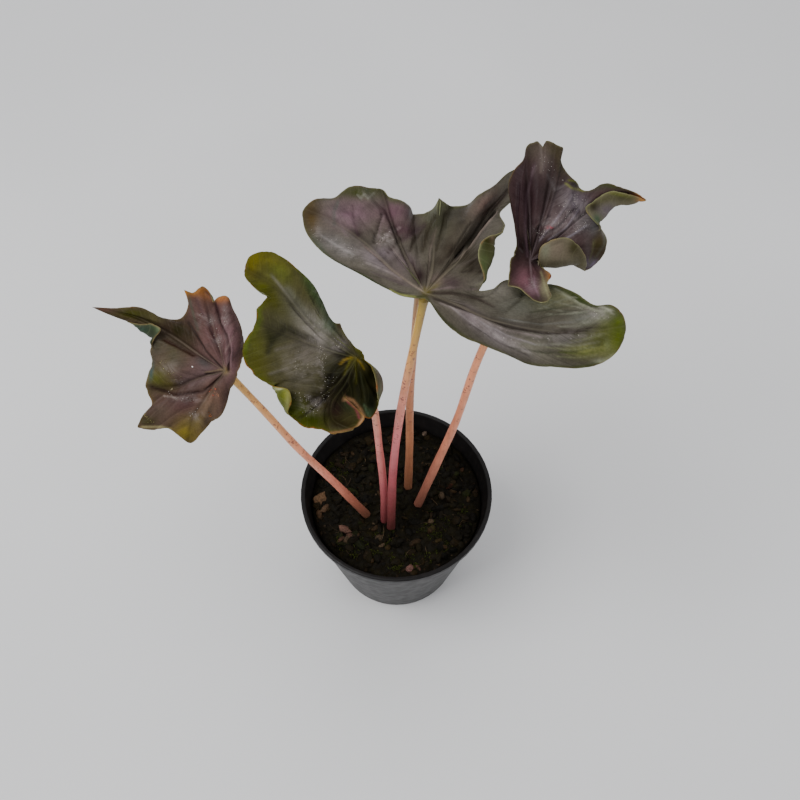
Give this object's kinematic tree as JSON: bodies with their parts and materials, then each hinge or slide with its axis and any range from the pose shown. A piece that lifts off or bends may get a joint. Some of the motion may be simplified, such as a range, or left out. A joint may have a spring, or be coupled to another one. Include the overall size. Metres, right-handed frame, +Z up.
{
  "type": "potted holy grail alocasia",
  "caption": "Small potted alocasia: dark arrow-shaped leaves with waved, rolled margins on slim bare stalks, growing from bark mix in a thin round black nursery pot.",
  "frame": {"origin": "middle of the pot's flat underside", "axes": "+Z up from the pot's underside to the leaves; +X to the right and -Y toward the side that the picture is taken from"},
  "size_m": [0.2053, 0.1238, 0.2774],
  "materials": {
    "pot_plastic": "thin black moulded plastic with a soft sheen",
    "potting_mix": "moist dark bark and moss, rough",
    "petiole_a_skin": "smooth living stalk, lightly glossy, speckled",
    "petiole_b_skin": "smooth living stalk, lightly glossy, speckled",
    "petiole_c_skin": "smooth living stalk, lightly glossy, speckled",
    "petiole_d_skin": "smooth living stalk, lightly glossy, speckled",
    "petiole_e_skin": "smooth living stalk, lightly glossy, speckled",
    "leaf_a_skin": "stiff living leaf, waxy with soft highlights",
    "leaf_b_skin": "stiff living leaf, waxy with soft highlights",
    "leaf_c_skin": "stiff living leaf, waxy with soft highlights",
    "leaf_d_skin": "stiff living leaf, waxy with soft highlights",
    "leaf_e_skin": "stiff living leaf, waxy with soft highlights"
  },
  "bodies": {
    "root": {"pot": "pot_plastic", "soil": "potting_mix", "petiole_a": "petiole_a_skin", "petiole_b": "petiole_b_skin", "petiole_c": "petiole_c_skin", "petiole_d": "petiole_d_skin", "petiole_e": "petiole_e_skin", "leaf_a": "leaf_a_skin", "leaf_b": "leaf_b_skin", "leaf_c": "leaf_c_skin", "leaf_d": "leaf_d_skin", "leaf_e": "leaf_e_skin"}
  },
  "joints": []
}
